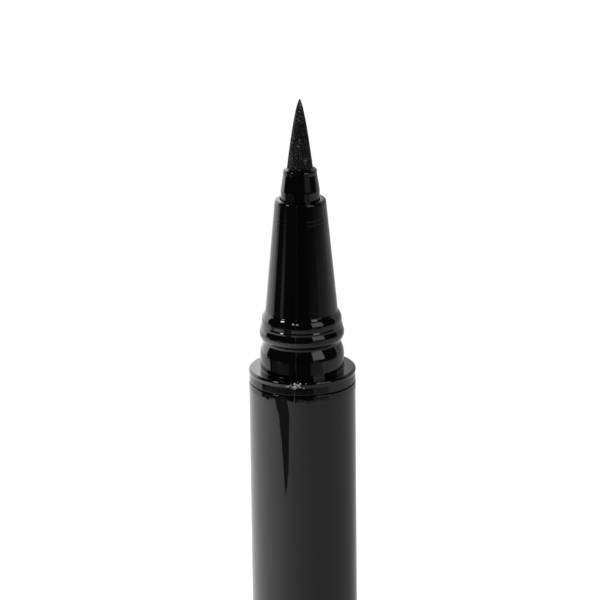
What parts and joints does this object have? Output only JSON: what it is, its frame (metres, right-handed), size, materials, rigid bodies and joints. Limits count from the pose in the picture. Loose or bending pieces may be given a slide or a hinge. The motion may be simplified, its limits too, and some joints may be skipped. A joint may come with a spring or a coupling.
{
  "type": "liquid eyeliner pen",
  "caption": "Slim round liquid eyeliner pen with a pointed brush nib, open and upright, its cap pushed onto the tail.",
  "frame": {"origin": "middle of the closed end of the cap, which the pen stands on", "axes": "+Z along the axis of the pen, from the closed end of the cap to the tip of the brush; X and Y are free, because every piece is turned about Z"},
  "size_m": [0.0108, 0.0108, 0.1568],
  "materials": {
    "gloss_black": "polished gloss black moulding",
    "brush_fibre": "matt black bonded brush fibre, wet with ink",
    "feed_fibre": "matt ink-stained fibre rod",
    "natural_plastic": "natural white moulding",
    "tank_plastic": "milky moulding",
    "black_rubber": "matt black rubber",
    "bright_steel": "bright stainless steel"
  },
  "bodies": {
    "cap": {"cap_shell": "gloss_black", "cap_crown": "gloss_black", "inner_cap_spring": "bright_steel"},
    "inner_cap": {"inner_cap": "natural_plastic"},
    "pen": {"barrel": "gloss_black", "tail_plug": "gloss_black", "tail_ring": "black_rubber", "tank_plug": "natural_plastic", "ink_tank": "tank_plastic", "partition_plug": "natural_plastic", "collector": "natural_plastic", "feed_core": "feed_fibre", "section_ring": "black_rubber", "front_section": "gloss_black", "nib_holder": "gloss_black", "brush_nib": "brush_fibre"},
    "mixing_ball": {"mixing_ball": "bright_steel"}
  },
  "joints": [
    {"name": "pen_slide", "type": "slide", "parent": "cap", "child": "pen", "axis": [0, 0, 1], "range_m": [0, 0.0095]},
    {"name": "inner_cap_slide", "type": "slide", "parent": "cap", "child": "inner_cap", "axis": [0, 0, -1], "range_m": [0, 0.0012], "stiffness_N_per_m": 300, "deforming": ["inner_cap_spring"]},
    {"name": "ball_slide", "type": "slide", "parent": "pen", "child": "mixing_ball", "axis": [0, 0, 1], "range_m": [0, 0.0514]}
  ]
}
